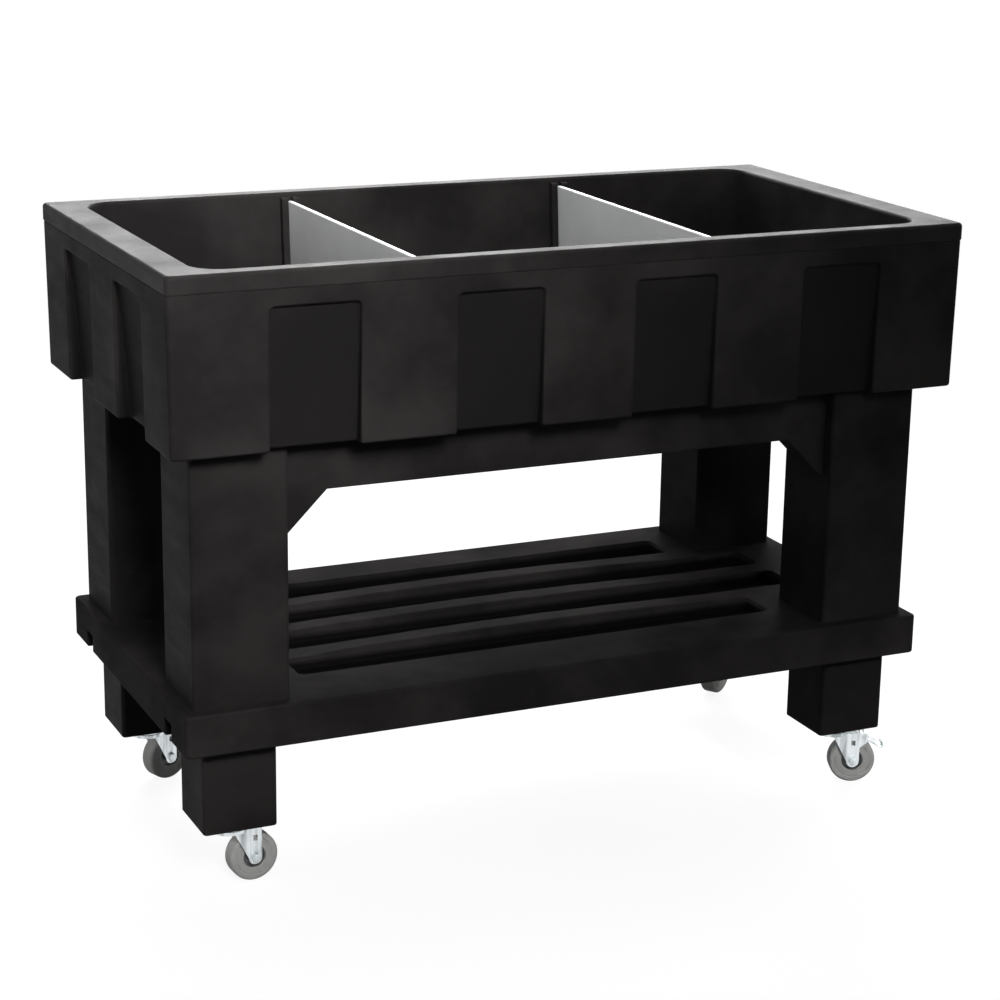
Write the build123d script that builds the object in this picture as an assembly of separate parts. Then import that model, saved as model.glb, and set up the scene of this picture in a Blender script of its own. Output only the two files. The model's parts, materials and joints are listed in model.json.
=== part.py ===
from build123d import *
import math
import os

# A wheeled bin for iced drinks. X runs along its length, Y towards its back, Z up from the floor.

# Bin
bin_length = 1335.0
bin_width = 685.0
bin_height = 270.0
bin_corner_radius = 10.0
rim_band = 28.0  # height of the liner's turned-down rim
rim_end_width = 59.0
rim_side_width = 34.0
rim_round = 6.0
rim_inner_round = 6.0
seam_step = 1.0  # how far the outer shell stands in from the rim band
seam_round = 2.0  # on both edges of the seam
shell_draft = 2.7
skin = 5.0  # wall of every hollow moulding
tub_depth = 215.0
tub_draft = 18.0
tub_corner_radius = 46.0  # at the rim
tub_floor_round = 22.0

# Panels on the bin's sides
recess_width = 141.0
recess_drop = 55.0  # from the rim to the recess's upper edge
recess_top_depth = 10.0
recess_bottom_depth = 26.0
recess_round = 9.0
recess_floor_round = 5.0
panel_edge_round = 4.5
bin_foot_round = 5.0  # along the panels' lower edges
side_recess_count = 4
end_recess_count = 2

# Dividers
divider_x = 252.0
divider_thickness = 8.0
divider_drop = 13.0  # from the rim to the divider's upper edge
divider_corner_round = 34.0
divider_notch_radius = 14.0
divider_edge_round = 2.5
guide_width = 11.0
guide_proud = 12.0
guide_drop = 8.0
guide_round = 5.0
guide_clearance = 0.6
divider_end_clearance = 2.0
divider_floor_clearance = 0.3

# Legs and feet
leg_length = 401.0
leg_size_x = 153.0
leg_size_y = 147.0
leg_inset_x = 44.0  # from the bin's end to the leg's outer face
leg_inset_y = 49.0
leg_edge_round = 7.0
foot_size_x = 119.0
foot_size_y = 116.0
foot_length = 144.0
foot_edge_round = 3.0
foot_plug_height = 45.0

# Aprons
apron_height = 85.0
apron_thickness = 48.0
apron_set_back = 26.0  # from the leg's outer face
apron_gusset = 71.0
apron_edge_round = 4.0

# Shelf
shelf_thickness = 67.0
shelf_lip_x = 19.0  # beyond the legs
shelf_lip_y = 21.0
shelf_corner_radius = 10.0
shelf_edge_round = 4.0
shelf_seam = 35.0  # height of the parting line above the shelf's underside
groove_count = 4
groove_pitch = 120.0
groove_width = 70.0
groove_depth = 19.0
groove_round = 9.0
groove_flare = 4.0  # slope along a groove's upper edge
groove_shift = 18.0  # the grooves stand this far towards the back
short_groove_margin = 52.0  # from the leg to the end of an outer groove
long_groove_margin = 107.0  # from the shelf's end to the end of an inner groove
rib_crown = 7.0
rib_round = 5.0
socket_clearance = 0.5
notch_width = 36.0

# Fasteners
leg_bolt_radius = 5.0
leg_bolt_offset = 38.0
insert_radius = 9.0
insert_length = 24.0
apron_bolt_radius = 4.0
apron_bolt_low = 36.0  # above the gusset's tip
apron_bolt_high = 30.0  # below the bin
shelf_bolt_radius = 5.0
screw_radius = 4.0
screw_length = 30.0

# Meltwater drain
drain_pipe_radius = 17.0
drain_bore_radius = 13.5
drain_flange_radius = 36.0
drain_flange_height = 4.0
drain_dish_radius = 24.0  # under the strainer's holes
drain_dish_depth = 2.0
gasket_height = 2.0
strainer_radius = 29.0
strainer_height = 3.0
strainer_hole_radius = 2.5
drain_hole_clearance = 0.3
locknut_height = 10.0
locknut_flat = 52.0
valve_radius = 23.0
valve_socket_depth = 14.0
valve_gap = 2.0
ball_radius = 14.0
ball_bore_radius = 9.0
seat_height = 5.0
seat_clearance = 0.1
stem_radius = 5.0
stem_clearance = 0.05
stem_boss_radius = 10.0
stem_boss_length = 31.0
lever_length = 85.0
lever_width = 15.0
lever_thickness = 5.0
spout_radius = 12.5
spout_length = 30.0  # of the hose tail
spout_drop = 28.0  # from the valve to the bend
spout_bend = 24.0
spout_socket = 5.0
spout_neck = 1.0  # how much slimmer the spout is where the valve holds it

# Casters
caster_height = 108.0
wheel_radius = 40.0
wheel_width = 28.0
tyre_round = 5.0
tyre_seat_radius = 18.5
hub_recess = 2.5
hub_boss_radius = 9.0
hub_side_clearance = 0.3
axle_radius = 4.0
axle_clearance = 0.05
trail = 36.0
fork_wall = 3.0
fork_gap = 1.5  # between the tyre and a fork leg
fork_eye_radius = 11.0
fork_slot_x = 7.0
fork_slot_z = 9.0
crown_radius = 28.0
crown_height = 6.0
plate_x = 100.0
plate_y = 80.0
plate_thickness = 3.0
plate_corner_radius = 8.0
plate_hole_x = 37.5
plate_hole_y = 27.5
race_height = 5.0
swivel_ball_radius = 3.0
swivel_ball_ring_radius = 20.0
swivel_ball_count = 12
swivel_play = 0.1
kingpin_radius = 5.0
kingpin_head_radius = 9.0
kingpin_head_height = 4.0
kingpin_clearance = 0.05
pedal_pivot_x = 17.0  # from the axle
pedal_pivot_z = 43.0
pedal_pin_radius = 2.5
pedal_pin_clearance = 0.05
pedal_barrel_radius = 4.0
pedal_reach = 34.0
pedal_fall = 20.0
pedal_thickness = 2.5
pedal_lip = 7.0
pedal_side_clearance = 0.5

# Each caster's corner of the stand, and the way its wheel trails
casters = {
    "front_left": (-1, -1, 4.0, False),
    "front_right": (1, -1, -22.0, True),
    "back_left": (-1, 1, 20.0, False),
    "back_right": (1, 1, 35.0, True),
}

# Heights above the floor
foot_bottom = caster_height
shelf_bottom = foot_bottom + foot_length
shelf_top = shelf_bottom + shelf_thickness
shelf_parting = shelf_bottom + shelf_seam
bin_bottom = shelf_top + leg_length
rim_top = bin_bottom + bin_height
seam_z = rim_top - rim_band
tub_floor = rim_top - tub_depth
recess_top = rim_top - recess_drop

# Places in plan
leg_x = bin_length / 2 - leg_inset_x - leg_size_x / 2
leg_y = bin_width / 2 - leg_inset_y - leg_size_y / 2
leg_inner_x = leg_x - leg_size_x / 2
leg_outer_y = leg_y + leg_size_y / 2
shelf_half_x = leg_x + leg_size_x / 2 + shelf_lip_x
shelf_half_y = leg_outer_y + shelf_lip_y
socket_x = foot_size_x + 2 * socket_clearance
socket_y = foot_size_y + 2 * socket_clearance
corners = [(sx, sy) for sx in (-1, 1) for sy in (-1, 1)]
tiny = 1.0  # how far a cutting solid runs past the face that it cuts


def block(x0, x1, y0, y1, z0, z1):
    return Pos((x0 + x1) / 2, (y0 + y1) / 2, (z0 + z1) / 2) * Box(x1 - x0, y1 - y0, z1 - z0)


def post(x, y, size_x, size_y, z0, z1):
    return block(x - size_x / 2, x + size_x / 2, y - size_y / 2, y + size_y / 2, z0, z1)


def rod(radius, z0, z1, x=0.0, y=0.0):
    return Pos(x, y, (z0 + z1) / 2) * Cylinder(radius, z1 - z0)


def rod_x(radius, x0, x1, y, z):
    return Pos((x0 + x1) / 2, y, z) * Rot(0, 90, 0) * Cylinder(radius, abs(x1 - x0))


def rod_y(radius, y0, y1, x, z):
    return Pos(x, (y0 + y1) / 2, z) * Rot(90, 0, 0) * Cylinder(radius, abs(y1 - y0))


def hexagon(flat, z0, z1, x=0.0, y=0.0):
    outline = RegularPolygon(flat / 2, 6, major_radius=False)
    return Pos(x, y, z0) * extrude(outline, z1 - z0)


def hexagon_along(flat, start, end, axis_turn):
    return axis_turn * hexagon(flat, min(start, end), max(start, end))


def plate_xz(points, y0, y1):
    # an upright plate from its outline in X and Z
    outline = make_face(Plane.XZ * Polyline(*points, close=True))
    return Pos(0, y0, 0) * extrude(outline, y1 - y0, dir=(0, 1, 0))


def plate_yz(points, x0, x1):
    # an upright plate from its outline in Y and Z
    outline = make_face(Plane.YZ * Polyline(*points, close=True))
    return Pos(x0, 0, 0) * extrude(outline, x1 - x0, dir=(1, 0, 0))


def rounded_box(length, width, radius, z0, z1):
    return Pos(0, 0, z0) * extrude(RectangleRounded(length, width, radius), z1 - z0)


def tapered_box(length, width, radius, z0, z1, draft):
    # the length and width are those at the top, and draft is the walls' lean in degrees
    outline = RectangleRounded(length, width, radius)
    return Pos(0, 0, z1) * extrude(outline, z1 - z0, dir=(0, 0, -1), taper=draft)


def upright_edges(solid):
    return solid.edges().filter_by(Axis.Z)


def group(solids):
    return Compound(children=list(solids))


# Bin


def recess_cutter(half, grow):
    # a wedge that faces -Y, grown on every side where it cuts the shell's inner space
    upper = recess_top + grow
    slope = (recess_bottom_depth - recess_top_depth) / (recess_top - bin_bottom)
    lower = bin_bottom - tiny

    def floor_at(z):
        return -(half - recess_top_depth - grow - slope * (recess_top - z))

    outside = -(half + grow + tiny)
    outline = [(outside, upper), (floor_at(upper), upper), (floor_at(lower), lower), (outside, lower)]
    reach = recess_width / 2 + grow
    wedge = plate_yz(outline, -reach, reach)
    wedge = fillet(wedge.edges().filter_by(Axis.Y).group_by(Axis.Z)[-1], recess_round + grow)
    deep_face = wedge.faces().filter_by(lambda face: face.normal_at().Y > 0.9)[0]
    return fillet(deep_face.edges().sort_by(Axis.Z)[1:], recess_floor_round + grow)


def recess_places(count, length):
    panel = (length - count * recess_width) / (count + 1)
    pitch = panel + recess_width
    return [(i - (count - 1) / 2) * pitch for i in range(count)]


def cut_recesses(solid, grow):
    long_side = recess_cutter(bin_width / 2, grow)
    end_side = recess_cutter(bin_length / 2, grow)
    for turn in (0, 180):
        for along in recess_places(side_recess_count, bin_length):
            solid -= Rot(0, 0, turn) * Pos(along, 0, 0) * long_side
        for along in recess_places(end_recess_count, bin_width):
            solid -= Rot(0, 0, turn + 90) * Pos(along, 0, 0) * end_side
    return solid


def panelled_block(grow):
    # the outer shell's form, or its inner space when the walls are taken off
    taken = 2 * (seam_step + grow)
    radius = bin_corner_radius - grow
    draft = math.degrees(math.atan2(shell_draft, seam_z - bin_bottom))
    form = tapered_box(bin_length - taken, bin_width - taken, radius, bin_bottom + grow, seam_z, draft)
    if grow == 0:
        form = fillet(form.faces().sort_by(Axis.Z)[0].edges(), bin_foot_round)
        form = fillet(form.faces().sort_by(Axis.Z)[-1].edges(), seam_round)
    return cut_recesses(form, grow)


def panel_edges(shell):
    # the outer edges of every recess, on the four sides
    found = []
    for face in shell.faces():
        if face.geom_type != GeomType.PLANE or face.area < bin_height * bin_height / 2:
            continue
        if abs(face.normal_at().Z) > 0.5:
            continue
        for edge in face.edges():
            middle = edge.center()
            at_end = min(bin_length / 2 - abs(middle.X), bin_width / 2 - abs(middle.Y))
            inner = max(bin_length / 2 - abs(middle.X), bin_width / 2 - abs(middle.Y))
            below_rim = middle.Z < recess_top + tiny
            above_bottom = middle.Z > bin_bottom + tiny
            if below_rim and above_bottom and at_end < recess_top_depth and inner > 2 * bin_corner_radius:
                found.append(edge)
    return found


def leg_bolt_places():
    return [(sx * leg_x + k * leg_bolt_offset, sy * leg_y) for sx, sy in corners for k in (-1, 1)]


def bin_shell():
    shell = panelled_block(0.0)
    shell = fillet(panel_edges(shell), panel_edge_round)
    shell -= panelled_block(skin)
    shell -= rod(drain_pipe_radius + drain_hole_clearance, bin_bottom - tiny, bin_bottom + skin + tiny)
    for x, y in leg_bolt_places():
        shell -= rod(leg_bolt_radius, bin_bottom - tiny, bin_bottom + skin + tiny, x, y)
    return shell


def tub_half_width(z):
    # half the tub's inside width at a height
    return bin_width / 2 - rim_side_width - tub_draft * (rim_top - z) / tub_depth


def tub_block(grow):
    length = bin_length - 2 * rim_end_width + 2 * grow
    width = bin_width - 2 * rim_side_width + 2 * grow
    draft = math.degrees(math.atan2(tub_draft, tub_depth))
    tub = tapered_box(length, width, tub_corner_radius + grow, tub_floor - grow, rim_top, draft)
    floor_face = tub.faces().sort_by(Axis.Z)[0]
    return fillet(floor_face.edges(), tub_floor_round + grow)


def rim_hollow():
    inside = bin_corner_radius - skin
    return rounded_box(bin_length - 2 * skin, bin_width - 2 * skin, inside, seam_z, rim_top - skin)


def divider_guide(side_x):
    # one moulded rib up the back wall, beside a divider's slot
    top = rim_top - guide_drop
    wall_low = tub_half_width(tub_floor)
    wall_top = tub_half_width(top)
    outline = [
        (wall_low - guide_proud, tub_floor),
        (wall_low + skin, tub_floor),
        (wall_top + skin, top),
        (wall_top - guide_proud, top),
    ]
    strip = plate_yz(outline, side_x, side_x + guide_width)
    strip = fillet(strip.faces().sort_by(Axis.Z)[-1].edges().sort_by(Axis.Y)[0], guide_round)
    return strip & tub_block(0.0)


def divider_guides():
    slot = divider_thickness / 2 + guide_clearance
    solids = []
    for centre in (-divider_x, divider_x):
        for side_x in (centre - slot - guide_width, centre + slot):
            strip = divider_guide(side_x)
            solids += [strip, mirror(strip, Plane.XZ)]
    return group(solids)


def bin_liner():
    rim = rounded_box(bin_length, bin_width, bin_corner_radius, seam_z, rim_top)
    rim = fillet(rim.faces().sort_by(Axis.Z)[-1].edges(), rim_round)
    rim = fillet(rim.faces().sort_by(Axis.Z)[0].edges(), seam_round)
    liner = rim - rim_hollow()
    liner += tub_block(skin)
    liner -= tub_block(0.0)
    liner -= rod(drain_pipe_radius + drain_hole_clearance, tub_floor - skin - tiny, tub_floor + tiny)
    rim_edges = liner.edges().filter_by(lambda edge: edge.bounding_box().min.Z > rim_top - tiny)
    reach_x = bin_length / 2 - rim_end_width / 2
    reach_y = bin_width / 2 - rim_side_width / 2

    def at_mouth(edge):
        return abs(edge.center().X) < reach_x and abs(edge.center().Y) < reach_y

    return fillet(rim_edges.filter_by(at_mouth), rim_inner_round)


def bin_foam():
    foam = panelled_block(skin) + rim_hollow()
    foam -= tub_block(skin)
    foam -= rod(drain_pipe_radius + drain_hole_clearance, bin_bottom, tub_floor)
    for x, y in leg_bolt_places():
        foam -= rod(insert_radius, bin_bottom, bin_bottom + skin + insert_length, x, y)
    return foam


def divider(centre):
    low = tub_floor + divider_floor_clearance
    top = rim_top - divider_drop
    low_half = tub_half_width(low) - divider_end_clearance
    top_half = tub_half_width(top) - divider_end_clearance
    outline = [(-low_half, low), (low_half, low), (top_half, top), (-top_half, top)]
    start = centre - divider_thickness / 2
    plate = plate_yz(outline, start, start + divider_thickness)
    plate = fillet(plate.edges().filter_by(Axis.X).group_by(Axis.Z)[0], divider_corner_round)
    plate = fillet(plate.edges().filter_by(Axis.X).group_by(Axis.Z)[-1], divider_notch_radius / 2)
    plate = fillet(plate.faces().sort_by(Axis.Z)[-1].edges().filter_by(Axis.Y), divider_edge_round)
    for side in (-1, 1):
        notch_y = side * low_half / 2
        plate -= rod_x(divider_notch_radius, start - tiny, start + divider_thickness + tiny, notch_y, low)
    return plate


# Stand


def apron_y(sy):
    return sy * (leg_outer_y - apron_set_back - apron_thickness / 2)


def apron_bolt_heights():
    tip = bin_bottom - apron_height - apron_gusset
    return (tip + apron_bolt_low, bin_bottom - apron_bolt_high)


def shelf_bolt_z():
    return shelf_bottom + (shelf_seam - skin) / 2


def leg(sx, sy):
    x = sx * leg_x
    y = sy * leg_y
    upper = post(x, y, leg_size_x, leg_size_y, shelf_top, bin_bottom)
    upper = fillet(upright_edges(upper), leg_edge_round)
    foot = post(x, y, foot_size_x, foot_size_y, foot_bottom, shelf_top + skin)
    foot = fillet(upright_edges(foot), leg_edge_round)
    foot = fillet(foot.faces().sort_by(Axis.Z)[0].edges(), foot_edge_round)
    solid = upper + foot
    solid -= post(x, y, leg_size_x - 2 * skin, leg_size_y - 2 * skin, shelf_top + skin, bin_bottom - skin)
    solid -= post(x, y, foot_size_x - 2 * skin, foot_size_y - 2 * skin, foot_bottom, shelf_top + skin)
    for k in (-1, 1):
        bolt_x = x + k * leg_bolt_offset
        solid -= rod(leg_bolt_radius, bin_bottom - skin - tiny, bin_bottom + tiny, bolt_x, y)
    inner = x - sx * leg_size_x / 2
    for z in apron_bolt_heights():
        solid -= rod_x(apron_bolt_radius, inner - sx * tiny, inner + sx * (skin + tiny), apron_y(sy), z)
    outer = x + sx * foot_size_x / 2
    solid -= rod_x(shelf_bolt_radius, outer + sx * tiny, outer - sx * (skin + tiny), y, shelf_bolt_z())
    return solid


def apron_outline(grow):
    # the gusseted rail, or its hollow when the walls are taken off
    end = leg_inner_x - grow
    low = bin_bottom - apron_height + grow
    slant = grow * (math.sqrt(2) - 1)
    tip = low - apron_gusset + grow - slant
    turn = end - apron_gusset + grow - slant
    return [(-end, bin_bottom), (end, bin_bottom), (end, tip), (turn, low), (-turn, low), (-end, tip)]


def apron_long_edges(rail):
    # the lower and slanted edges of both faces, clear of the bin and the legs
    def is_long(edge):
        along_y = edge.bounding_box().size.Y > tiny
        at_leg = abs(edge.center().X) > leg_inner_x - tiny
        at_bin = edge.center().Z > bin_bottom - tiny
        return not (along_y or at_leg or at_bin)

    return rail.edges().filter_by(is_long)


def apron(sy):
    y = apron_y(sy)
    half = apron_thickness / 2
    rail = plate_xz(apron_outline(0.0), y - half, y + half)
    rail = fillet(apron_long_edges(rail), apron_edge_round)
    rail -= plate_xz(apron_outline(skin), y - half + skin, y + half - skin)
    for sx in (-1, 1):
        end = sx * leg_inner_x
        for z in apron_bolt_heights():
            rail -= rod_x(apron_bolt_radius, end + sx * tiny, end - sx * (skin + tiny), y, z)
    return rail


def groove_places():
    return [groove_shift + (i - (groove_count - 1) / 2) * groove_pitch for i in range(groove_count)]


def groove_half_length(index):
    if index in (0, groove_count - 1):
        return leg_inner_x - short_groove_margin
    return shelf_half_x - long_groove_margin


def groove(index, y, grow):
    length = 2 * (groove_half_length(index) + grow)
    outline = RectangleRounded(length, groove_width + 2 * grow, groove_round + grow)
    low = shelf_top - groove_depth - grow
    trough = Pos(0, y, low) * extrude(outline, groove_depth + grow)
    trough = fillet(trough.faces().sort_by(Axis.Z)[0].edges(), groove_round / 2 + grow)
    mouth = RectangleRounded(length + 2 * groove_flare, groove_width + 2 * groove_flare + 2 * grow,
                             groove_round + groove_flare + grow)
    slope = extrude(mouth, groove_flare, dir=(0, 0, -1), taper=45)
    return trough + Pos(0, y, shelf_top) * slope


def rib(y):
    # a ridge between two grooves, crowned along its length
    reach = leg_inner_x - short_groove_margin
    base = shelf_top - tiny
    left = (-reach, 0, base)
    right = (reach, 0, base)
    arc = ThreePointArc(right, (0, 0, shelf_top + rib_crown), left)
    half = (groove_pitch - groove_width) / 2 - groove_flare
    ridge = Pos(0, y - half, 0) * extrude(make_face([Line(left, right), arc]), 2 * half, dir=(0, 1, 0))
    return fillet(ridge.edges().filter_by(GeomType.CIRCLE), rib_round)


def shelf_block(z0, z1):
    return rounded_box(2 * shelf_half_x, 2 * shelf_half_y, shelf_corner_radius, z0, z1)


def shelf_hollow(z0, z1):
    inside = shelf_corner_radius - skin
    hollow = rounded_box(2 * shelf_half_x - 2 * skin, 2 * shelf_half_y - 2 * skin, inside, z0, z1)
    for sx, sy in corners:
        hollow -= post(sx * leg_x, sy * leg_y, socket_x + 2 * skin, socket_y + 2 * skin, z0, z1)
    return hollow


def cut_sockets(solid):
    for sx, sy in corners:
        socket = post(sx * leg_x, sy * leg_y, socket_x, socket_y, shelf_bottom - tiny, shelf_top + tiny)
        solid -= fillet(upright_edges(socket), leg_edge_round)
    return solid


def shelf_deck():
    deck = shelf_block(shelf_parting, shelf_top)
    deck = fillet(deck.faces().sort_by(Axis.Z)[-1].edges(), shelf_edge_round)
    hollow = shelf_hollow(shelf_parting, shelf_top - skin)
    places = groove_places()
    for index, y in enumerate(places):
        hollow -= groove(index, y, skin)
    deck -= hollow
    for index, y in enumerate(places):
        deck -= groove(index, y, 0.0)
    for y in places[:-1]:
        deck += rib(y + groove_pitch / 2)
    return cut_sockets(deck)


def end_notch(sx, sy, grow):
    # a pocket in the pan's end, where a shelf bolt is reached
    sleeve = sx * (leg_x + socket_x / 2 + skin)
    edge = sx * (shelf_half_x + tiny)
    half = notch_width / 2 + grow
    top = shelf_parting - skin + grow
    return block(min(sleeve, edge), max(sleeve, edge), sy * leg_y - half, sy * leg_y + half,
                 shelf_bottom - tiny, top)


def shelf_pan():
    pan = shelf_block(shelf_bottom, shelf_parting)
    pan = fillet(pan.faces().sort_by(Axis.Z)[0].edges(), shelf_edge_round)
    hollow = shelf_hollow(shelf_bottom + skin, shelf_parting)
    for sx, sy in corners:
        hollow -= end_notch(sx, sy, skin)
    pan -= hollow
    for sx, sy in corners:
        pan -= end_notch(sx, sy, 0.0)
        sleeve = sx * (leg_x + socket_x / 2)
        pan -= rod_x(shelf_bolt_radius, sleeve - sx * tiny, sleeve + sx * (skin + tiny), sy * leg_y,
                     shelf_bolt_z())
    return cut_sockets(pan)


def foot_plugs():
    solids = []
    for sx, sy in corners:
        x = sx * leg_x
        y = sy * leg_y
        top = foot_bottom + foot_plug_height
        plug = post(x, y, foot_size_x - 2 * skin, foot_size_y - 2 * skin, foot_bottom, top)
        for hole_x, hole_y in screw_places(x, y):
            plug -= rod(screw_radius, foot_bottom - tiny, foot_bottom + screw_length, hole_x, hole_y)
        solids.append(plug)
    return group(solids)


# Fasteners


def leg_bolts():
    solids = []
    head_low = bin_bottom - skin - leg_bolt_radius * 1.3
    for x, y in leg_bolt_places():
        bolt = hexagon(3.4 * leg_bolt_radius, head_low, bin_bottom - skin, x, y)
        solids.append(bolt + rod(leg_bolt_radius, head_low, bin_bottom + skin + insert_length, x, y))
    return group(solids)


def leg_inserts():
    solids = []
    low = bin_bottom + skin
    for x, y in leg_bolt_places():
        sleeve = rod(insert_radius, low, low + insert_length, x, y)
        solids.append(sleeve - rod(leg_bolt_radius, low - tiny, low + insert_length + tiny, x, y))
    return group(solids)


def bolt_and_nut(radius, outer, inner, y, z):
    # a bolt along X with its head against one wall and its nut against the other
    way = math.copysign(1.0, inner - outer)
    turn = Pos(0, y, z) * Rot(0, 90, 0)
    head = outer - way * 1.3 * radius
    end = inner + way * 2.2 * radius
    bolt = hexagon_along(3.4 * radius, outer, head, turn) + rod_x(radius, head, end, y, z)
    nut = hexagon_along(3.4 * radius, inner, inner + way * 1.6 * radius, turn)
    return [bolt, nut - rod_x(radius, outer, end, y, z)]


def apron_bolts():
    solids = []
    for sx, sy in corners:
        for z in apron_bolt_heights():
            head = sx * (leg_inner_x + skin)
            nut = sx * (leg_inner_x - skin)
            solids += bolt_and_nut(apron_bolt_radius, head, nut, apron_y(sy), z)
    return group(solids)


def shelf_bolts():
    solids = []
    for sx, sy in corners:
        head = sx * (leg_x + socket_x / 2 + skin)
        nut = sx * (leg_x + foot_size_x / 2 - skin)
        solids += bolt_and_nut(shelf_bolt_radius, head, nut, sy * leg_y, shelf_bolt_z())
    return group(solids)


def screw_places(x, y):
    return [(x + i * plate_hole_x, y + j * plate_hole_y) for i in (-1, 1) for j in (-1, 1)]


def caster_screws():
    solids = []
    under = foot_bottom - plate_thickness
    for sx, sy in corners:
        for x, y in screw_places(sx * leg_x, sy * leg_y):
            screw = hexagon(3.2 * screw_radius, under - 1.2 * screw_radius, under, x, y)
            solids.append(screw + rod(screw_radius, under - tiny, foot_bottom + screw_length, x, y))
    return group(solids)


# Drain


flange_low = tub_floor + gasket_height
flange_top = flange_low + drain_flange_height
valve_top = bin_bottom - locknut_height - valve_gap
pipe_end = valve_top - valve_socket_depth
seat_span = ball_radius * 0.85 + seat_height
ball_z = pipe_end - valve_gap - seat_span
spout_top = ball_z - seat_span - tiny
valve_low = spout_top - spout_socket


def drain_fitting():
    pipe = rod(drain_flange_radius, flange_low, flange_top)
    pipe += rod(drain_pipe_radius, pipe_end, flange_top)
    pipe -= rod(drain_dish_radius, flange_top - drain_dish_depth, flange_top + tiny)
    return pipe - rod(drain_bore_radius, pipe_end - tiny, flange_top + tiny)


def drain_gasket():
    ring = rod(drain_flange_radius, tub_floor, flange_low)
    return ring - rod(drain_pipe_radius, tub_floor - tiny, flange_low + tiny)


def drain_strainer():
    disc = rod(strainer_radius, flange_top, flange_top + strainer_height)
    disc = fillet(disc.faces().sort_by(Axis.Z)[-1].edges(), strainer_height / 2)
    rings = ((4 * strainer_hole_radius, 6), (8 * strainer_hole_radius, 12))
    low = flange_top - tiny
    top = flange_top + strainer_height + tiny
    disc -= rod(strainer_hole_radius, low, top)
    for radius, count in rings:
        for hole in PolarLocations(radius, count):
            disc -= hole * rod(strainer_hole_radius, low, top)
    return disc


def drain_locknut():
    nut = hexagon(locknut_flat, bin_bottom - locknut_height, bin_bottom)
    return nut - rod(drain_pipe_radius, bin_bottom - locknut_height - tiny, bin_bottom + tiny)


def valve_body():
    chamber = ball_radius + 2 * seat_clearance
    body = rod(valve_radius, valve_low, valve_top)
    body += rod_y(stem_boss_radius, -stem_boss_length, 0, 0, ball_z)
    body -= rod(drain_pipe_radius, pipe_end, valve_top + tiny)
    body -= rod(chamber, ball_z - seat_span, ball_z + seat_span)
    body -= rod(ball_bore_radius, valve_low - tiny, valve_top)
    body -= rod(spout_radius - spout_neck, valve_low - tiny, spout_top)
    return body - rod_y(stem_radius + stem_clearance, -stem_boss_length - tiny, 0, 0, ball_z)


def valve_seats():
    chamber = ball_radius + 2 * seat_clearance
    solids = []
    for low in (ball_z - seat_span, ball_z + seat_span - seat_height):
        ring = rod(chamber, low, low + seat_height)
        ring -= rod(ball_bore_radius, low - tiny, low + seat_height + tiny)
        solids.append(ring - Pos(0, 0, ball_z) * Sphere(ball_radius + seat_clearance))
    return group(solids)


def valve_ball():
    ball = Pos(0, 0, ball_z) * Sphere(ball_radius)
    ball -= rod_x(ball_bore_radius, -ball_radius - tiny, ball_radius + tiny, 0, ball_z)
    flat = ball_radius - tiny
    return ball - block(-ball_radius, ball_radius, -ball_radius - tiny, -flat, ball_z - ball_radius,
                        ball_z + ball_radius)


def valve_handle():
    start = stem_boss_length + valve_gap / 4
    end = start + lever_thickness
    stem = rod_y(stem_radius, -end, -(ball_radius - tiny), 0, ball_z)
    half = lever_width / 2
    grip = block(0, lever_length, -end, -start, ball_z - half, ball_z + half)
    grip += rod_y(half, -end, -start, 0, ball_z)
    grip += rod_y(half, -end, -start, lever_length, ball_z)
    return stem + grip


def spout_pipe(radius, top, spare):
    # down from the valve, round the bend and back to the open end
    bend_top = valve_low - spout_drop
    bend_axis = Axis((0, spout_bend, bend_top), (1, 0, 0))
    bend = revolve(Pos(0, 0, bend_top) * Circle(radius), bend_axis, 90)
    end = Plane.XZ * Circle(radius)
    tail = extrude(Pos(0, spout_bend, bend_top - spout_bend) * end, spout_length + spare, dir=(0, 1, 0))
    return rod(radius, bend_top, top) + bend + tail


def valve_spout():
    spout = spout_pipe(spout_radius, valve_low, 0)
    spout += rod(spout_radius - spout_neck, valve_low - tiny, spout_top)
    return spout - spout_pipe(ball_bore_radius, spout_top + tiny, tiny)


# Casters: the kingpin stands on the Z axis, and the wheel trails towards +X


race_low = foot_bottom - plate_thickness - race_height
crown_top = race_low - 2 * (swivel_ball_radius + swivel_play)
crown_low = crown_top - crown_height
leg_inside = wheel_width / 2 + fork_gap
leg_outside = leg_inside + fork_wall


def caster_plate():
    low = foot_bottom - plate_thickness
    plate = rounded_box(plate_x, plate_y, plate_corner_radius, low, foot_bottom)
    plate += rod(crown_radius, race_low, low)
    plate -= rod(kingpin_radius, race_low - tiny, foot_bottom + tiny)
    for x, y in screw_places(0, 0):
        plate -= rod(screw_radius, low - tiny, foot_bottom + tiny, x, y)
    return plate


def kingpin():
    head_top = crown_low - swivel_play
    low = head_top - kingpin_head_height
    head = rod(kingpin_head_radius, low, head_top)
    head = fillet(head.faces().sort_by(Axis.Z)[0].edges(), kingpin_head_height / 3)
    return head + rod(kingpin_radius, low + tiny, foot_bottom)


def swivel_balls():
    z = race_low - swivel_ball_radius - swivel_play
    ball = Pos(0, 0, z) * Sphere(swivel_ball_radius)
    return group([place * ball for place in PolarLocations(swivel_ball_ring_radius, swivel_ball_count)])


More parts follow.
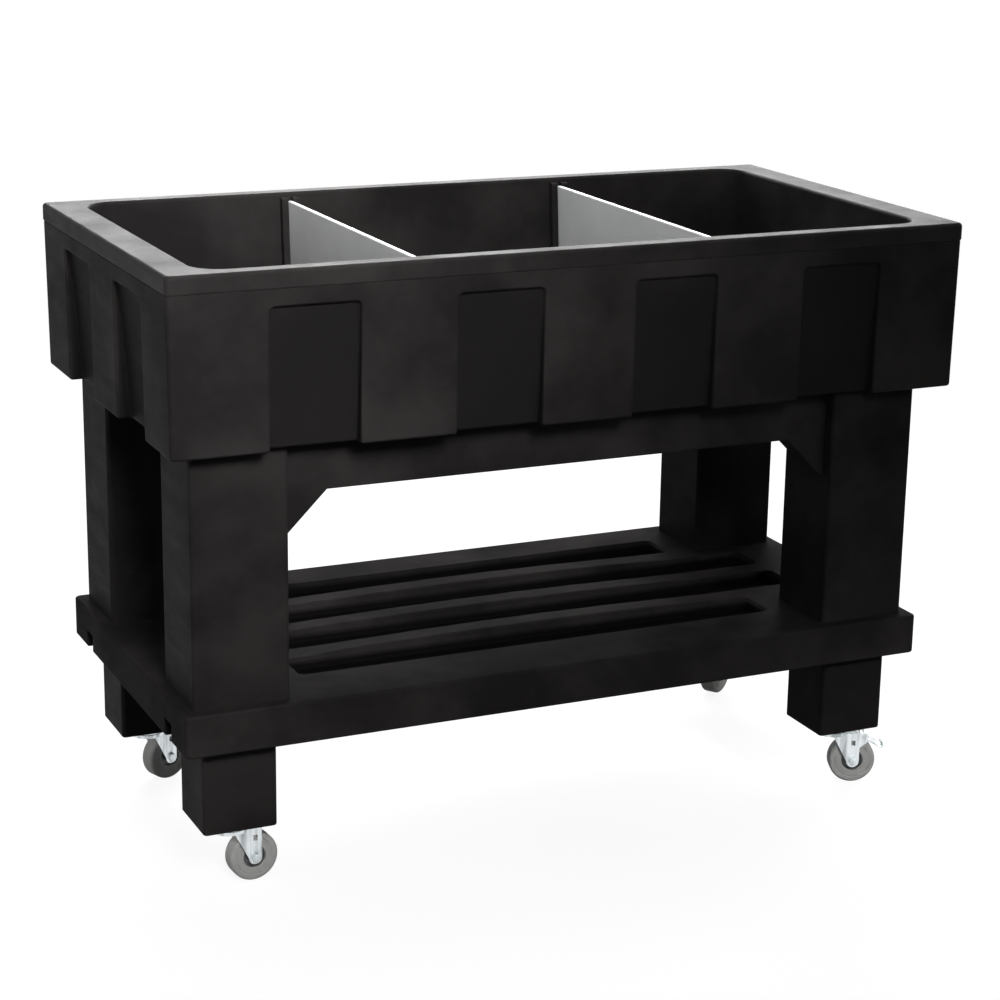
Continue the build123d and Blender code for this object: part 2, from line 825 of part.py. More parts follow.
def fork_leg(y0, y1, braked):
    # a side plate that narrows from the crown to the axle's eye
    front = trail + fork_eye_radius
    ear = trail + pedal_pivot_x + 3 * pedal_pin_radius
    ear_low = wheel_radius + pedal_pivot_z - 3 * pedal_pin_radius
    outline = [(0, crown_low), (0, crown_top - crown_height / 2)]
    if braked:
        outline += [(ear, crown_top - crown_height / 2), (ear, ear_low), (front, ear_low - fork_eye_radius)]
    else:
        outline += [(front, crown_top - crown_height / 2)]
    outline += [(front, wheel_radius), (trail - fork_eye_radius, wheel_radius)]
    return plate_xz(outline, y0, y1) + rod_y(fork_eye_radius, y0, y1, trail, wheel_radius)


def fork(braked):
    crown = rod(crown_radius, crown_low, crown_top)
    crown += block(0, trail + fork_eye_radius, -leg_outside, leg_outside, crown_low,
                   crown_top - crown_height / 2)
    for y0, y1 in ((-leg_outside, -leg_inside), (leg_inside, leg_outside)):
        crown += fork_leg(y0, y1, braked)
    crown -= rod(kingpin_radius + kingpin_clearance, crown_low - tiny, crown_top + tiny)
    crown -= rod_y(axle_radius, -leg_outside - tiny, leg_outside + tiny, trail, wheel_radius)
    slot_z = wheel_radius + fork_eye_radius + fork_slot_z * 2
    crown -= post(trail, 0, fork_slot_x, 2 * leg_outside + tiny, slot_z, slot_z + fork_slot_z)
    if braked:
        crown -= rod_y(pedal_pin_radius + pedal_pin_clearance, -leg_outside - tiny, leg_outside + tiny,
                       trail + pedal_pivot_x, wheel_radius + pedal_pivot_z)
    return crown


def axle():
    head = 1.3 * axle_radius
    turn = Pos(trail, 0, wheel_radius) * Rot(90, 0, 0)
    end = leg_outside + 2 * axle_radius
    bolt = hexagon_along(3.2 * axle_radius, leg_outside, leg_outside + head, turn)
    bolt += rod_y(axle_radius, -leg_outside - head, end, trail, wheel_radius)
    nut = hexagon_along(3.2 * axle_radius, -leg_outside, -leg_outside - 1.6 * axle_radius, turn)
    return group([bolt, nut - rod_y(axle_radius, 0, end + tiny, trail, wheel_radius)])


def tyre():
    half = wheel_width / 2
    ring = rod_y(wheel_radius, -half, half, trail, wheel_radius)
    ring = fillet(ring.edges().filter_by(GeomType.CIRCLE), tyre_round)
    return ring - rod_y(tyre_seat_radius, -half - tiny, half + tiny, trail, wheel_radius)


def hub():
    half = wheel_width / 2 - hub_recess
    boss = leg_inside - hub_side_clearance
    solid = rod_y(tyre_seat_radius, -half, half, trail, wheel_radius)
    solid += rod_y(hub_boss_radius, -boss, boss, trail, wheel_radius)
    return solid - rod_y(axle_radius + axle_clearance, -boss - tiny, boss + tiny, trail, wheel_radius)


def brake_pedal():
    x = trail + pedal_pivot_x
    z = wheel_radius + pedal_pivot_z
    half = leg_inside - pedal_side_clearance
    length = math.hypot(pedal_reach, pedal_fall)
    down = math.degrees(math.atan2(pedal_fall, pedal_reach))
    tread = block(0, length, -half, half, -pedal_thickness / 2, pedal_thickness / 2)
    tread += block(length - pedal_thickness, length, -half, half, 0, pedal_lip)
    pedal = Pos(x, 0, z) * Rot(0, down, 0) * tread
    pedal += rod_y(pedal_barrel_radius, -half, half, x, z)
    return pedal + rod_y(pedal_pin_radius, -leg_outside, leg_outside, x, z)


def caster_pieces(name, sx, sy, heading, braked):
    foot = Pos(sx * leg_x, sy * leg_y, 0)
    turned = foot * Rot(0, 0, heading)
    pieces = {
        f"caster_plate_{name}": foot * caster_plate(),
        f"kingpin_{name}": foot * kingpin(),
        f"swivel_balls_{name}": foot * swivel_balls(),
        f"fork_{name}": turned * fork(braked),
        f"axle_{name}": turned * axle(),
        f"hub_{name}": turned * hub(),
        f"tyre_{name}": turned * tyre(),
    }
    if braked:
        pieces[f"brake_pedal_{name}"] = turned * brake_pedal()
    return pieces


def all_pieces():
    pieces = {
        "bin_shell": bin_shell(),
        "bin_liner": bin_liner(),
        "bin_foam": bin_foam(),
        "divider_guides": divider_guides(),
        "divider_left": divider(-divider_x),
        "divider_right": divider(divider_x),
        "apron_front": apron(-1),
        "apron_back": apron(1),
        "shelf_deck": shelf_deck(),
        "shelf_pan": shelf_pan(),
        "foot_plugs": foot_plugs(),
        "leg_bolts": leg_bolts(),
        "leg_inserts": leg_inserts(),
        "apron_bolts": apron_bolts(),
        "shelf_bolts": shelf_bolts(),
        "caster_screws": caster_screws(),
        "drain_fitting": drain_fitting(),
        "drain_gasket": drain_gasket(),
        "drain_strainer": drain_strainer(),
        "drain_locknut": drain_locknut(),
        "valve_body": valve_body(),
        "valve_seats": valve_seats(),
        "valve_ball": valve_ball(),
        "valve_handle": valve_handle(),
        "valve_spout": valve_spout(),
    }
    for name, (sx, sy, heading, braked) in casters.items():
        pieces[f"leg_{name}"] = leg(sx, sy)
        pieces.update(caster_pieces(name, sx, sy, heading, braked))
    return pieces


os.makedirs("parts", exist_ok=True)
for node, solid in all_pieces().items():
    export_step(solid, f"parts/{node}.step")
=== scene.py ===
import json
import math
import bpy
from mathutils import Matrix, Vector


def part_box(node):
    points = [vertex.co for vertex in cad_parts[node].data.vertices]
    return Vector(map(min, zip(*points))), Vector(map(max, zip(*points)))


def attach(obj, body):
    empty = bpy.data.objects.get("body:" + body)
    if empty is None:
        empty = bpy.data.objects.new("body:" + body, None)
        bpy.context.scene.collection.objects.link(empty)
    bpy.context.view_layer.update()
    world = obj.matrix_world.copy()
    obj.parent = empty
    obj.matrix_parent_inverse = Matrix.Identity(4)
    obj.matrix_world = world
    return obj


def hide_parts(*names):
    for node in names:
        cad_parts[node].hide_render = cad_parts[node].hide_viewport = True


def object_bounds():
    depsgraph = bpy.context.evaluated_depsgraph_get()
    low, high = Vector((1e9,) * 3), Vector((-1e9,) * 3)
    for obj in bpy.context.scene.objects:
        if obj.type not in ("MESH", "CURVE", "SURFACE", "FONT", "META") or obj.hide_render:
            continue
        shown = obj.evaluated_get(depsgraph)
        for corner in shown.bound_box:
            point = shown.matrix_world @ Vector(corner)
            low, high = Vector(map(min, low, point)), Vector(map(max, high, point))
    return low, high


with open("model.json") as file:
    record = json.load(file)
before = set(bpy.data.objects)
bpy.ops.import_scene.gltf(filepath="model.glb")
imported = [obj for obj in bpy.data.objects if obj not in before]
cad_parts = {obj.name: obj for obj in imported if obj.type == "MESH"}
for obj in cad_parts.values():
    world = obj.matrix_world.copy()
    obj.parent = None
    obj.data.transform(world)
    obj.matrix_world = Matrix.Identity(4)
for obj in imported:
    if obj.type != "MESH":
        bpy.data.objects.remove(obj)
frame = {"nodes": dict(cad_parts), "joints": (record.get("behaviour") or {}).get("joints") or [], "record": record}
nodes = frame["nodes"]
joints = {joint["name"]: joint for joint in frame["joints"]}
corners = ("front_left", "front_right", "back_left", "back_right")
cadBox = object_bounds()
print("frame loaded with", len(nodes), "nodes")

# camera at the photograph's angle

cameraView = {
    "place": (-1.6596, -3.6276, 1.6531),
    "yaw": 24.7,  # degrees to the right of straight ahead
    "pitch": -16.06,
    "roll": 0.89,
    "lens": 89.14,  # mm, on a sensor 36 mm wide
}


def addCamera():
    turn = Matrix.Rotation(math.radians(-cameraView["yaw"]), 4, "Z")
    turn = turn @ Matrix.Rotation(math.radians(90 + cameraView["pitch"]), 4, "X")
    turn = turn @ Matrix.Rotation(math.radians(cameraView["roll"]), 4, "Z")
    bpy.ops.object.camera_add(location=cameraView["place"], rotation=turn.to_euler())
    camera = bpy.context.object
    camera.name = "photoCamera"
    camera.data.lens = cameraView["lens"]
    camera.data.sensor_width = 36.0
    camera.data.clip_end = 200.0
    bpy.context.scene.camera = camera


# helpers for shader nodes


def newFinish(name):
    material = bpy.data.materials.new(name)
    material.use_nodes = True
    return material, material.node_tree, material.node_tree.nodes["Principled BSDF"]


def reckon(tree, operation, first, second=0.0):
    step = tree.nodes.new("ShaderNodeMath")
    step.operation = operation
    for socket, value in zip(step.inputs, (first, second)):
        if isinstance(value, bpy.types.NodeSocket):
            tree.links.new(value, socket)
        else:
            socket.default_value = value
    return step.outputs[0]


def spread(tree, value, span, levels, easing="LINEAR"):
    ramp = tree.nodes.new("ShaderNodeMapRange")
    ramp.interpolation_type = easing
    ramp.inputs["From Min"].default_value = span[0]
    ramp.inputs["From Max"].default_value = span[1]
    ramp.inputs["To Min"].default_value = levels[0]
    ramp.inputs["To Max"].default_value = levels[1]
    tree.links.new(value, ramp.inputs["Value"])
    return ramp.outputs["Result"]


def objectPoint(tree, stretch=(1, 1, 1), turn=(0, 0, 0)):
    point = tree.nodes.new("ShaderNodeTexCoord")
    mapping = tree.nodes.new("ShaderNodeMapping")
    mapping.inputs["Scale"].default_value = stretch
    mapping.inputs["Rotation"].default_value = [math.radians(angle) for angle in turn]
    tree.links.new(point.outputs["Object"], mapping.inputs["Vector"])
    return mapping.outputs["Vector"]


def noise(tree, point, scale, detail=3.0, roughness=0.5):
    texture = tree.nodes.new("ShaderNodeTexNoise")
    texture.inputs["Scale"].default_value = scale
    texture.inputs["Detail"].default_value = detail
    texture.inputs["Roughness"].default_value = roughness
    tree.links.new(point, texture.inputs["Vector"])
    return texture.outputs["Fac"]


def twoTone(tree, value, first, second):
    mix = tree.nodes.new("ShaderNodeMix")
    mix.data_type = "RGBA"
    tree.links.new(value, mix.inputs["Factor"])
    for side, colour in (("A", first), ("B", second)):
        if isinstance(colour, bpy.types.NodeSocket):
            tree.links.new(colour, mix.inputs[side])
        else:
            mix.inputs[side].default_value = (*colour, 1)
    return mix.outputs["Result"]


def raised(tree, height, distance, strength, under=None):
    bump = tree.nodes.new("ShaderNodeBump")
    bump.inputs["Distance"].default_value = distance
    bump.inputs["Strength"].default_value = strength
    tree.links.new(height, bump.inputs["Height"])
    if under is not None:
        tree.links.new(under, bump.inputs["Normal"])
    return bump.outputs["Normal"]


# floor, room and lamps

studio = {
    "floorSize": 120.0,
    "floorGrey": 0.15,
    "floorRough": 0.9,
    "floorGloss": 0.1,
    "floorGlow": (0.9, 0.975),  # beside the object, where its shadow falls, and far away
    "floorDip": (1.1, 2.6),  # metres from the middle
    "roomGrey": (0.12, 0.06),  # light from the horizon and from high up
    "roomFade": (0.02, 0.2),
    "lamps": [
        # name, place, aims at, width, height, watts, beam in degrees
        ("frontSoftbox", (-0.95, -3.8, 2.9), (-0.76, -0.3, 1.06), 1.1, 1.1, 12.0, 33),
        ("frontFill", (1.7, -4.6, 2.4), (0.5, 0.0, 0.5), 1.6, 1.6, 10.5, 120),
        ("leftStrip", (-3.4, 0.2, 1.1), (-0.3, 0.1, 0.75), 0.14, 1.3, 1.2, 120),
        ("leftFill", (-3.3, -0.4, 1.2), (-0.6, 0.0, 0.4), 1.4, 1.4, 5.6, 90),
        ("lowFill", (1.0, -3.2, 1.95), (0.57, -0.25, 0.02), 0.3, 0.3, 0.45, 14),
        ("backSoftbox", (1.2, 2.9, 2.25), (0.0, 0.0, 1.0), 3.0, 1.2, 80.0, 120),
        ("rightFill", (3.2, 1.0, 1.9), (0.6, 0.0, 0.7), 1.4, 1.2, 10.0, 90),
        ("topFill", (0.1, 0.3, 3.4), (0.0, 0.0, 0.8), 2.0, 1.2, 14.0, 100),
    ],
}


def seenDirectly(tree):
    # 1 on camera, mirror and see-through rays, 0 on the rays that only carry light
    path = tree.nodes.new("ShaderNodeLightPath")
    seen = reckon(tree, "MAXIMUM", path.outputs["Is Camera Ray"], path.outputs["Is Glossy Ray"])
    return reckon(tree, "MAXIMUM", seen, path.outputs["Is Transmission Ray"])


def addFloor():
    bpy.ops.object.select_all(action="DESELECT")
    bpy.ops.mesh.primitive_plane_add(size=studio["floorSize"])
    floor = bpy.context.object
    floor.name = "studioFloor"
    material, tree, shader = newFinish("paleFloor")
    grey = studio["floorGrey"]
    shader.inputs["Base Color"].default_value = (grey, grey, grey, 1)
    shader.inputs["Roughness"].default_value = studio["floorRough"]
    shader.inputs["Specular IOR Level"].default_value = studio["floorGloss"]
    place = tree.nodes.new("ShaderNodeTexCoord")
    away = tree.nodes.new("ShaderNodeVectorMath")
    away.operation = "LENGTH"
    tree.links.new(place.outputs["Object"], away.inputs[0])
    glow = spread(tree, away.outputs["Value"], studio["floorDip"], studio["floorGlow"], "SMOOTHSTEP")
    glow = reckon(tree, "MULTIPLY", seenDirectly(tree), glow)
    shader.inputs["Emission Color"].default_value = (1, 1, 1, 1)
    tree.links.new(glow, shader.inputs["Emission Strength"])
    floor.data.materials.append(material)


def addRoom():
    world = bpy.data.worlds.new("studioRoom")
    bpy.context.scene.world = world
    world.use_nodes = True
    tree = world.node_tree
    backdrop = tree.nodes["Background"]
    backdrop.inputs["Color"].default_value = (1, 1, 1, 1)
    place = tree.nodes.new("ShaderNodeTexCoord")
    along = tree.nodes.new("ShaderNodeSeparateXYZ")
    tree.links.new(place.outputs["Generated"], along.inputs[0])
    light = spread(tree, along.outputs["Z"], studio["roomFade"], studio["roomGrey"], "SMOOTHSTEP")
    light = reckon(tree, "MAXIMUM", light, seenDirectly(tree))
    tree.links.new(light, backdrop.inputs["Strength"])


def addLamps():
    for name, place, aim, width, height, watts, beam in studio["lamps"]:
        look = (Vector(aim) - Vector(place)).to_track_quat("-Z", "Y")
        bpy.ops.object.light_add(type="AREA", location=place, rotation=look.to_euler())
        lamp = bpy.context.object
        lamp.name = name
        lamp.data.shape = "RECTANGLE"
        lamp.data.size = width
        lamp.data.size_y = height
        lamp.data.energy = watts
        lamp.data.spread = math.radians(beam)


addCamera()
addFloor()
addRoom()
addLamps()
bpy.context.scene.view_settings.view_transform = "Standard"
print("studio ready")

# black moulded plastic

mouldedBlack = {
    "deep": (0.0136, 0.0126, 0.0124),
    "cloudy": (0.0272, 0.0254, 0.0248),
    # painted shade: the darker tone of recesses and grooves
    "unworn": (0.0118, 0.011, 0.0109),
    "cloudScale": 5.0,
    "cloudSpan": (0.4, 0.64),
    "wornDepth": (0.004, 0.012),  # metres below the proud faces, over which the painted shade comes in
    "rough": (0.4, 0.54),
    "smearStretch": (3, 3, 14),
    "smearScale": 3.0,
    "gloss": 0.0055,
    "swellScale": 7.0,
    "swell": 0.0016,  # metres, slow waves of a rotomoulded wall
    "peelScale": 420.0,
    "peel": 0.00025,
}


def depthBelow(tree, half, top):
    # how far a point lies inside the upright sides of a block, and under its top, in metres
    point = tree.nodes.new("ShaderNodeTexCoord")
    sides = tree.nodes.new("ShaderNodeSeparateXYZ")
    tree.links.new(point.outputs["Object"], sides.inputs[0])
    depths = []
    for axis, reach in zip("XY", half):
        fromMiddle = reckon(tree, "ABSOLUTE", sides.outputs[axis])
        depths.append(reckon(tree, "SUBTRACT", reach, fromMiddle))
    least = reckon(tree, "MINIMUM", *depths)
    if top is not None:
        least = reckon(tree, "MINIMUM", least, reckon(tree, "SUBTRACT", top, sides.outputs["Z"]))
    return least


# scales a colour down by a painted-shade factor
def shaded(colour, paintedShade):
    return [paintedShade * part for part in colour]


def makeMouldedBlack(name, turn, paintedShade=1.0, gloss=mouldedBlack["gloss"], worn=None, top=None, sunkPaintedShade=1.0):
    look = mouldedBlack
    material, tree, shader = newFinish(name)
    point = objectPoint(tree, turn=turn)
    cloud = spread(tree, noise(tree, point, look["cloudScale"], 5.0, 0.6), look["cloudSpan"], (0.0, 1.0))
    colour = twoTone(tree, cloud, shaded(look["deep"], paintedShade), shaded(look["cloudy"], paintedShade))
    if worn is not None:  # painted shade: what lies back from the proud faces is painted darker
        paintedShadeColour = twoTone(tree, cloud, shaded(look["unworn"], sunkPaintedShade), shaded(look["deep"], sunkPaintedShade))
        depth = spread(tree, depthBelow(tree, worn, top), look["wornDepth"], (0.0, 1.0))
        colour = twoTone(tree, depth, colour, paintedShadeColour)
    tree.links.new(colour, shader.inputs["Base Color"])
    smear = noise(tree, objectPoint(tree, look["smearStretch"], turn), look["smearScale"], 6.0, 0.65)
    tree.links.new(spread(tree, smear, (0.3, 0.7), look["rough"]), shader.inputs["Roughness"])
    shader.inputs["Specular IOR Level"].default_value = gloss
    swell = raised(tree, noise(tree, point, look["swellScale"], 1.0), look["swell"], 1.0)
    peel = raised(tree, noise(tree, point, look["peelScale"], 2.0), look["peel"], 0.5, swell)
    tree.links.new(peel, shader.inputs["Normal"])
    return material


# white divider sheet

whiteSheet = {
    "plain": (0.80, 0.81, 0.81),
    "worn": (0.70, 0.71, 0.71),
    "cloudScale": 6.0,
    "cloudSpan": (0.35, 0.75),
    "scratchStretch": (40, 2, 60),
    "scratchScale": 5.0,
    "scratchDepth": 0.0002,
    "rough": (0.28, 0.45),
}


def makeWhiteSheet():
    look = whiteSheet
    material, tree, shader = newFinish("whiteSheet")
    cloud = noise(tree, objectPoint(tree), look["cloudScale"], 5.0, 0.6)
    cloud = spread(tree, cloud, look["cloudSpan"], (0.0, 1.0))
    tree.links.new(twoTone(tree, cloud, look["plain"], look["worn"]), shader.inputs["Base Color"])
    scratch = noise(tree, objectPoint(tree, look["scratchStretch"]), look["scratchScale"], 3.0)
    tree.links.new(spread(tree, scratch, (0.3, 0.7), look["rough"]), shader.inputs["Roughness"])
    tree.links.new(raised(tree, scratch, look["scratchDepth"], 0.4), shader.inputs["Normal"])
    return material


# zinc plating, with painted reflection bands in upright streaks

zincPlate = {
    "bright": (0.72, 0.76, 0.78),
    "tarnish": (0.33, 0.36, 0.37),
    "streakStretch": (1, 1, 0.15),
    "streakScale": 75.0,
    "streakSpan": (0.4, 0.62),
    "grainStretch": (6, 1, 1),
    "grainScale": 160.0,
    "grainDepth": 0.0001,
    "rough": (0.2, 0.42),
}


def makeZinc(name):
    look = zincPlate
    material, tree, shader = newFinish(name)
    # painted reflection: bright and dark upright bands in the base colour
    streak = noise(tree, objectPoint(tree, look["streakStretch"]), look["streakScale"], 3.0, 0.55)
    streak = spread(tree, streak, look["streakSpan"], (0.0, 1.0))
    tree.links.new(twoTone(tree, streak, look["bright"], look["tarnish"]), shader.inputs["Base Color"])
    shader.inputs["Metallic"].default_value = 1.0
    grain = noise(tree, objectPoint(tree, look["grainStretch"]), look["grainScale"], 3.0)
    tree.links.new(spread(tree, grain, (0.3, 0.7), look["rough"]), shader.inputs["Roughness"])
    tree.links.new(raised(tree, grain, look["grainDepth"], 0.35), shader.inputs["Normal"])
    return material


# grey rubber of the tyres

greyTyre = {
    "clean": (0.35, 0.35, 0.34),
    "dusty": (0.43, 0.425, 0.41),
    "dustScale": 60.0,
    "dustSpan": (0.4, 0.7),
    "rough": (0.55, 0.8),
    "gloss": 0.05,
    "skinScale": 900.0,
    "skinDepth": 0.0001,
}


def makeTyre():
    look = greyTyre
    material, tree, shader = newFinish("greyTyre")
    point = objectPoint(tree)
    dust = spread(tree, noise(tree, point, look["dustScale"], 6.0, 0.7), look["dustSpan"], (0.0, 1.0))
    tree.links.new(twoTone(tree, dust, look["clean"], look["dusty"]), shader.inputs["Base Color"])
    tree.links.new(spread(tree, dust, (0.0, 1.0), look["rough"]), shader.inputs["Roughness"])
    shader.inputs["Specular IOR Level"].default_value = look["gloss"]
    skin = noise(tree, point, look["skinScale"], 2.0)
    tree.links.new(raised(tree, skin, look["skinDepth"], 0.5), shader.inputs["Normal"])
    return material


# the smaller pieces

smallFinish = {
    "cloudScale": 120.0,
    "cloudSpan": (0.35, 0.7),
    "poreScale": 720.0,
    "poreDepth": 0.0001,
    "slots": {
        # slot: first colour, second colour, roughness, metal
        "hub_plastic": ((0.075, 0.077, 0.08), (0.1, 0.1, 0.1), (0.4, 0.55), 0.0),
        "foam_core": ((0.82, 0.76, 0.55), (0.75, 0.68, 0.47), (0.8, 0.95), 0.0),
        "insert_brass": ((0.72, 0.53, 0.22), (0.6, 0.42, 0.17), (0.25, 0.4), 1.0),
        "seal_rubber": ((0.03, 0.03, 0.03), (0.045, 0.045, 0.045), (0.6, 0.8), 0.0),
        "drain_plastic": ((0.31, 0.32, 0.33), (0.27, 0.28, 0.29), (0.35, 0.5), 0.0),
        "lever_plastic": ((0.42, 0.035, 0.028), (0.34, 0.03, 0.024), (0.3, 0.42), 0.0),
        "seat_plastic": ((0.85, 0.85, 0.83), (0.8, 0.8, 0.78), (0.3, 0.4), 0.0),
        "plug_plastic": ((0.02, 0.02, 0.02), (0.03, 0.03, 0.03), (0.5, 0.65), 0.0),
    },
}


def camel(words):
    first, *rest = words.split("_")
    return first + "".join(word.capitalize() for word in rest)


def makeSmall(slotName):
    look = smallFinish
    first, second, rough, metal = look["slots"][slotName]
    material, tree, shader = newFinish(camel(slotName))
    point = objectPoint(tree)
    cloud = spread(tree, noise(tree, point, look["cloudScale"], 4.0, 0.6), look["cloudSpan"], (0.0, 1.0))
    tree.links.new(twoTone(tree, cloud, first, second), shader.inputs["Base Color"])
    tree.links.new(spread(tree, cloud, (0.0, 1.0), rough), shader.inputs["Roughness"])
    shader.inputs["Metallic"].default_value = metal
    pores = noise(tree, point, look["poreScale"], 2.0)
    tree.links.new(raised(tree, pores, look["poreDepth"], 0.3), shader.inputs["Normal"])
    return material


# every finish on its slot

blackLook = {
    "linerGloss": 0.016,
    "legShade": 0.82,
    "shelfShade": 0.94,
    "shelfGloss": 0.0012,
    "grooveShade": 0.4,
    "ribCrown": 0.007,  # the ribs stand this far above the shelf's edge
}
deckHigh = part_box("shelf_deck")[1]
shelfTop = deckHigh[2] - blackLook["ribCrown"]
finishes = {
    # painted shade in the shell's recesses
    "shell_black": makeMouldedBlack("shellBlack", (0, 0, 10), worn=cadBox[1][:2]),
    "liner_black": makeMouldedBlack("linerBlack", (0, 20, 35), gloss=blackLook["linerGloss"]),
    # painted shade: the legs are a darker copy of the same black
    "leg_black": makeMouldedBlack("legBlack", (15, 0, 60), paintedShade=blackLook["legShade"]),
    "apron_black": makeMouldedBlack("apronBlack", (25, 10, 0)),
    # painted shade: the shelf is a darker copy of the black, with its grooves painted darker still
    "shelf_black": makeMouldedBlack(
        "shelfBlack", (0, 35, 75), blackLook["shelfShade"], blackLook["shelfGloss"],
        deckHigh[:2], shelfTop, blackLook["grooveShade"]),
    "white_sheet": makeWhiteSheet(),
    "zinc_plate": makeZinc("zincPlate"),
    "bolt_steel": makeZinc("boltZinc"),
    "strainer_steel": makeZinc("strainerSteel"),
    "ball_steel": makeZinc("ballSteel"),
    "grey_tyre": makeTyre(),
}
for slotName in smallFinish["slots"]:
    finishes[slotName] = makeSmall(slotName)
slotOfNode = {part["node"]: part["material_slot"] for part in frame["record"]["subparts"]}
for name, node in nodes.items():
    for holder in node.material_slots:
        holder.material = finishes[slotOfNode[name]]
print("finishes on", len(nodes), "nodes")

# tools for the added pieces

bodyOfNode = {}
for body, members in frame["record"]["behaviour"]["bodies"].items():
    for member in members:
        bodyOfNode[member] = body


def pickAlone(piece):
    bpy.ops.object.select_all(action="DESELECT")
    piece.select_set(True)
    bpy.context.view_layer.objects.active = piece


def editFaces(piece, wanted):
    pickAlone(piece)
    bpy.ops.object.mode_set(mode="EDIT")
    bpy.ops.mesh.select_mode(type="FACE")
    bpy.ops.mesh.select_all(action="DESELECT")
    bpy.ops.object.mode_set(mode="OBJECT")
    for face in piece.data.polygons:
        face.select = wanted(face)
    bpy.ops.object.mode_set(mode="EDIT")


def editEdges(piece, wanted):
    pickAlone(piece)
    bpy.ops.object.mode_set(mode="EDIT")
    bpy.ops.mesh.select_mode(type="EDGE")
    bpy.ops.mesh.select_all(action="DESELECT")
    bpy.ops.object.mode_set(mode="OBJECT")
    points = piece.data.vertices
    for edge in piece.data.edges:
        edge.select = wanted(points[edge.vertices[0]].co, points[edge.vertices[1]].co)
    bpy.ops.object.mode_set(mode="EDIT")


def endEdit():
    bpy.ops.object.mode_set(mode="OBJECT")


def smoothed(piece, angle=35):
    pickAlone(piece)
    bpy.ops.object.shade_smooth_by_angle(angle=math.radians(angle))


def dressed(piece, slotName, body):
    piece.data.materials.clear()
    piece.data.materials.append(finishes[slotName])
    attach(piece, body)


def copyTo(piece, name, place):
    double = piece.copy()
    double.data = piece.data.copy()
    double.name = name
    double.data.name = name
    bpy.context.collection.objects.link(double)
    double.data.transform(place)
    return double


# soft edges on the metal and fitted pieces

softEdges = {
    # start of the node's name: width of the rounded edge, segments
    "fork": (0.0008, 3),
    "caster_plate": (0.0007, 2),
    "axle": (0.0005, 2),
    "brake_pedal": (0.0006, 2),
    "caster_screws": (0.0005, 2),
    "apron_bolts": (0.0005, 2),
    "shelf_bolts": (0.0005, 2),
    "drain_fitting": (0.0006, 2),
    "drain_locknut": (0.0008, 2),
    "valve_body": (0.0008, 2),
    "valve_handle": (0.0012, 3),
    "valve_spout": (0.0007, 2),
}


def softCopy(name, width, segments):
    piece = bpy.data.objects.new(camel(name) + "Soft", nodes[name].data.copy())
    bpy.context.collection.objects.link(piece)
    pickAlone(piece)
    bpy.ops.object.mode_set(mode="EDIT")
    bpy.ops.mesh.select_all(action="SELECT")
    bpy.ops.mesh.customdata_custom_splitnormals_clear()
    bpy.ops.mesh.remove_doubles(threshold=0.00002)
    bpy.ops.mesh.dissolve_limited(angle_limit=math.radians(0.5))
    endEdit()
    rounding = piece.modifiers.new("rounding", "BEVEL")
    rounding.width = width
    rounding.segments = segments
    rounding.limit_method = "ANGLE"
    rounding.angle_limit = math.radians(40)
    bpy.ops.object.modifier_apply(modifier=rounding.name)
    smoothed(piece, 30)
    dressed(piece, slotOfNode[name], bodyOfNode[name])
    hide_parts(name)


for name in list(nodes):
    for start, (width, segments) in softEdges.items():
        if name.startswith(start):
            softCopy(name, width, segments)
print("edges softened")

# wheels

wheelShape = {
    "radius": 0.040,
    "width": 0.028,
    "seat": 0.0185,
    "shoulder": 0.005,
    "ringRadius": 0.0305,
    "ringWidth": 0.0016,
    "ringHeight": 0.0006,
    "dish": 0.0012,
    "hubWidth": 0.023,
    "hubEdge": 0.0018,
    "hubStep": 0.0006,
    "channelDepth": 0.0035,
    "bossRadius": 0.009,
    "bossReach": 0.0152,
    "bore": 0.00405,
}


def isCap(face):
    return abs(face.normal.z) > 0.9


def addDrum(name, radius, width):
    bpy.ops.mesh.primitive_cylinder_add(vertices=96, radius=radius, depth=width)
    piece = bpy.context.object
    piece.name = name
    return piece


def openBore():
    bpy.ops.mesh.bridge_edge_loops()
    bpy.ops.mesh.select_all(action="SELECT")
    bpy.ops.mesh.normals_make_consistent(inside=False)
    endEdit()


def shapeTyre():
    shape = wheelShape
    tyre = addDrum("tyreModel", shape["radius"], shape["width"])
    editFaces(tyre, isCap)
    slope = shape["ringHeight"]
    bpy.ops.mesh.inset(thickness=shape["radius"] - shape["ringRadius"] - slope)
    bpy.ops.mesh.inset(thickness=slope, depth=-slope)
    bpy.ops.mesh.inset(thickness=shape["ringWidth"])
    bpy.ops.mesh.inset(thickness=slope, depth=slope)
    left = shape["ringRadius"] - shape["ringWidth"] - slope - shape["seat"]
    bpy.ops.mesh.inset(thickness=left - shape["dish"])
    bpy.ops.mesh.inset(thickness=shape["dish"], depth=-shape["dish"])
    openBore()
    outer = shape["radius"] - 0.0001

    def onShoulder(start, end):
        return start.xy.length > outer and end.xy.length > outer and abs(start.z - end.z) < 0.0001

    editEdges(tyre, onShoulder)
    bpy.ops.mesh.bevel(offset=shape["shoulder"], segments=7, profile=0.5)
    endEdit()
    smoothed(tyre)
    return tyre


def shapeHub():
    shape = wheelShape
    hub = addDrum("hubModel", shape["seat"], shape["hubWidth"])
    edge = shape["hubEdge"]
    step = shape["hubStep"]
    boss = shape["bossRadius"]
    editFaces(hub, isCap)
    bpy.ops.mesh.inset(thickness=edge)
    bpy.ops.mesh.inset(thickness=step, depth=-shape["channelDepth"])
    bpy.ops.mesh.inset(thickness=shape["seat"] - edge - 2 * step - boss)
    rise = shape["bossReach"] - shape["hubWidth"] / 2 + shape["channelDepth"]
    bpy.ops.mesh.inset(thickness=step, depth=rise - step)
    bpy.ops.mesh.inset(thickness=step, depth=step)
    bpy.ops.mesh.inset(thickness=boss - step - shape["bore"])
    openBore()
    smoothed(hub)
    return hub


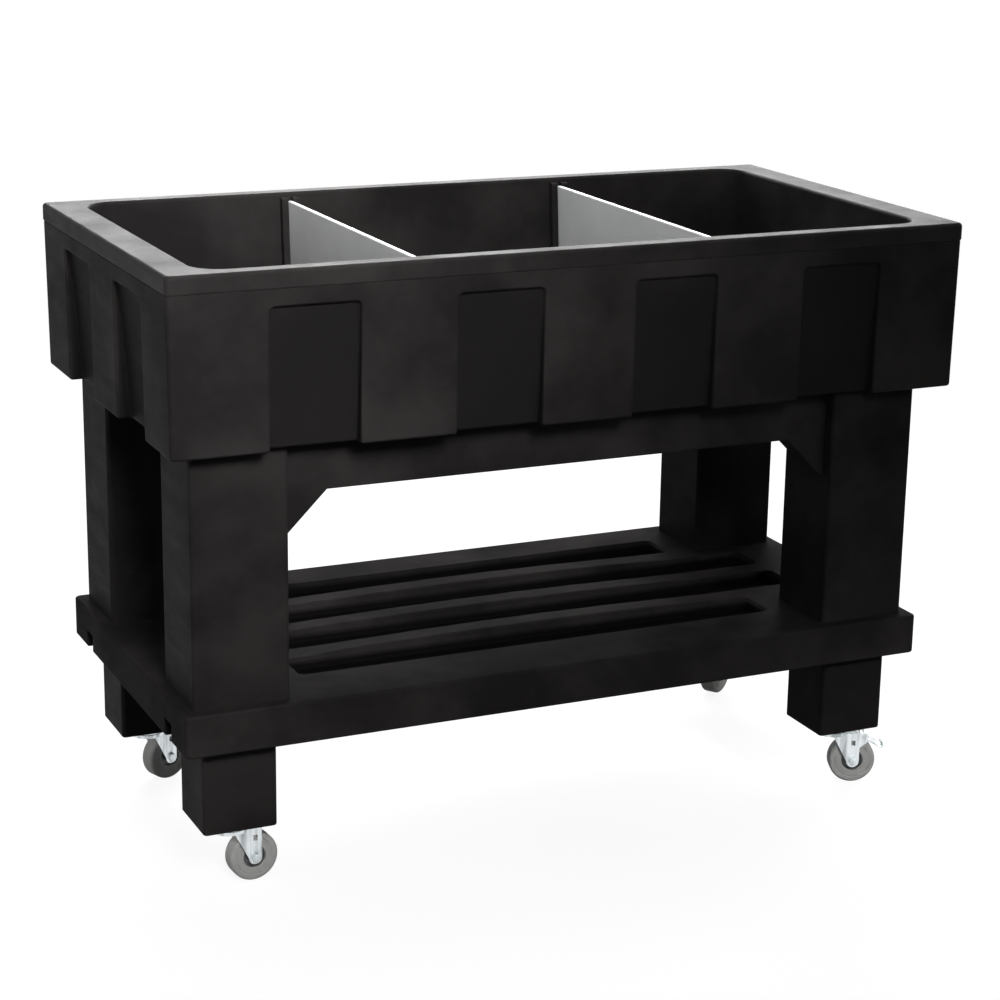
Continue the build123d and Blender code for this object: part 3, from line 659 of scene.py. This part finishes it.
def casterPlace(corner):
    pivot = Vector(joints["swivel_" + corner]["pos_m"])
    axle = Vector(joints["roll_" + corner]["pos_m"])
    ahead = axle - pivot
    heading = Matrix.Rotation(math.atan2(ahead.y, ahead.x), 4, "Z")
    return Matrix.Translation((pivot.x, pivot.y, 0)) @ heading


swivelPoint = Vector(joints["swivel_front_left"]["pos_m"])
axlePoint = Vector(joints["roll_front_left"]["pos_m"])
trail = (axlePoint - swivelPoint).xy.length
axleHeight = joints["roll_front_left"]["pos_m"][2]
onAxle = Matrix.Translation((trail, 0, axleHeight)) @ Matrix.Rotation(math.radians(90), 4, "X")

tyreModel = shapeTyre()
hubModel = shapeHub()
for corner in corners:
    tyre = copyTo(tyreModel, camel("tyre_" + corner), casterPlace(corner) @ onAxle)
    dressed(tyre, "grey_tyre", "wheel_" + corner)
    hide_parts("tyre_" + corner)
    hub = copyTo(hubModel, camel("hub_" + corner), casterPlace(corner) @ onAxle)
    dressed(hub, "hub_plastic", "wheel_" + corner)
    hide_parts("hub_" + corner)
bpy.data.objects.remove(tyreModel)
bpy.data.objects.remove(hubModel)
print("wheels shaped")

# pressed skirts round the swivel balls

skirtShape = {"radius": 0.0276, "wall": 0.0009, "low": 0.0945, "high": 0.1004, "rounding": 0.0003}


def shapeSkirt():
    shape = skirtShape
    tall = shape["high"] - shape["low"]
    skirt = addDrum("skirtModel", shape["radius"], tall)
    skirt.data.transform(Matrix.Translation((0, 0, (shape["high"] + shape["low"]) / 2)))
    editFaces(skirt, isCap)
    bpy.ops.mesh.inset(thickness=shape["wall"])
    openBore()

    def onRim(start, end):
        return abs(start.z - end.z) < 0.00001

    editEdges(skirt, onRim)
    bpy.ops.mesh.bevel(offset=shape["rounding"], segments=2)
    endEdit()
    smoothed(skirt)
    return skirt


skirtModel = shapeSkirt()
for corner in corners:
    skirt = copyTo(skirtModel, camel("race_skirt_" + corner), casterPlace(corner))
    dressed(skirt, "zinc_plate", "stand")
bpy.data.objects.remove(skirtModel)
print("race skirts in place")
